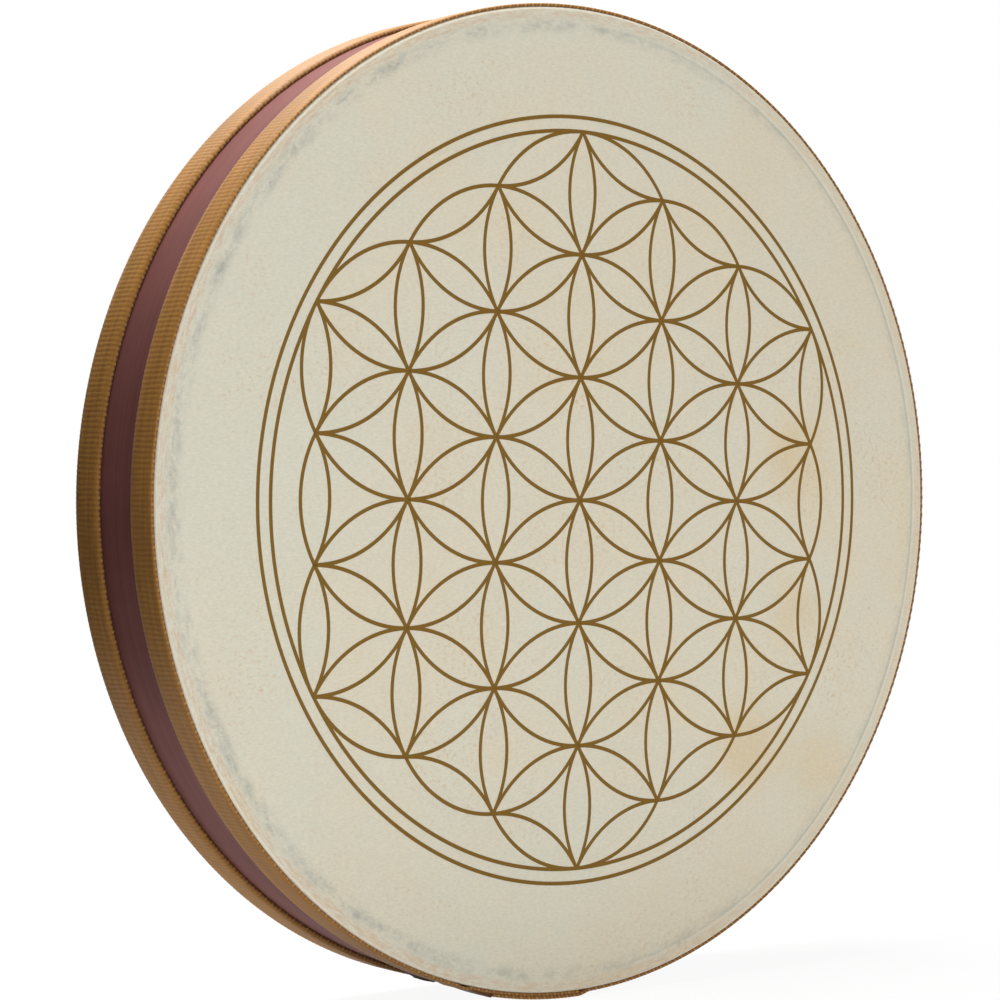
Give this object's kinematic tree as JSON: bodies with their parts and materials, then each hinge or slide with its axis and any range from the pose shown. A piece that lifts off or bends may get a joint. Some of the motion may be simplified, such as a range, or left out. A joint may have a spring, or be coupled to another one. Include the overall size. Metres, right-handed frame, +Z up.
{
  "type": "ocean drum",
  "caption": "Shallow round hoop drum closed by two hide heads, with woven ribbon round each rim, a plugged filling hole and loose steel shot sealed inside.",
  "frame": {"origin": "on the floor under the middle of the drum, which stands on its rim as in the picture", "axes": "+Z up, +Y along the drum's axis from the printed front head to the rear head, +X to the right as seen from the front"},
  "size_m": [0.5034, 0.072, 0.505],
  "materials": {
    "stained_ply": "maroon stain under satin lacquer",
    "bare_ply": "bare birch veneer",
    "goatskin": "scraped natural goatskin, matt",
    "woven_ribbon": "ribbed golden brown polyester ribbon",
    "staple_wire": "galvanised wire",
    "plug_rubber": "dark brown moulded rubber",
    "steel_shot": "polished steel"
  },
  "bodies": {
    "drum": {"outer_ply": "stained_ply", "second_ply": "bare_ply", "middle_ply": "bare_ply", "fourth_ply": "bare_ply", "inner_ply": "bare_ply", "front_head": "goatskin", "rear_head": "goatskin", "front_ribbon": "woven_ribbon", "rear_ribbon": "woven_ribbon", "front_staples": "staple_wire", "rear_staples": "staple_wire"},
    "plug": {"fill_plug": "plug_rubber"},
    "lane_1": {"shot_lane_1": "steel_shot"},
    "lane_2": {"shot_lane_2": "steel_shot"},
    "lane_3": {"shot_lane_3": "steel_shot"},
    "lane_4": {"shot_lane_4": "steel_shot"},
    "lane_5": {"shot_lane_5": "steel_shot"},
    "lane_6": {"shot_lane_6": "steel_shot"},
    "lane_7": {"shot_lane_7": "steel_shot"},
    "wave_1": {"shot_wave_1": "steel_shot"},
    "wave_2": {"shot_wave_2": "steel_shot"},
    "wave_3": {"shot_wave_3": "steel_shot"},
    "wave_4": {"shot_wave_4": "steel_shot"}
  },
  "joints": [
    {"name": "plug_pull", "type": "slide", "parent": "drum", "child": "plug", "axis": [-0.2756, 0, -0.9613], "range_m": [0, 0.0088]},
    {"name": "lane_1_roll", "type": "hinge", "parent": "drum", "child": "lane_1", "pos_m": [0, 0, 0.2533], "axis": [0, -1, 0], "continuous": true},
    {"name": "lane_2_roll", "type": "hinge", "parent": "drum", "child": "lane_2", "pos_m": [0, 0, 0.2533], "axis": [0, -1, 0], "continuous": true},
    {"name": "lane_3_roll", "type": "hinge", "parent": "drum", "child": "lane_3", "pos_m": [0, 0, 0.2533], "axis": [0, -1, 0], "continuous": true},
    {"name": "lane_4_roll", "type": "hinge", "parent": "drum", "child": "lane_4", "pos_m": [0, 0, 0.2533], "axis": [0, -1, 0], "continuous": true},
    {"name": "lane_5_roll", "type": "hinge", "parent": "drum", "child": "lane_5", "pos_m": [0, 0, 0.2533], "axis": [0, -1, 0], "continuous": true},
    {"name": "lane_6_roll", "type": "hinge", "parent": "drum", "child": "lane_6", "pos_m": [0, 0, 0.2533], "axis": [0, -1, 0], "continuous": true},
    {"name": "lane_7_roll", "type": "hinge", "parent": "drum", "child": "lane_7", "pos_m": [0, 0, 0.2533], "axis": [0, -1, 0], "continuous": true},
    {"name": "wave_1_run", "type": "slide", "parent": "drum", "child": "wave_1", "axis": [0, 0, 1], "range_m": [0, 0.4587]},
    {"name": "wave_2_run", "type": "slide", "parent": "drum", "child": "wave_2", "axis": [0, 0, 1], "range_m": [0, 0.4587]},
    {"name": "wave_3_run", "type": "slide", "parent": "drum", "child": "wave_3", "axis": [0, 0, 1], "range_m": [0, 0.4587]},
    {"name": "wave_4_run", "type": "slide", "parent": "drum", "child": "wave_4", "axis": [0, 0, 1], "range_m": [0, 0.4587]}
  ]
}
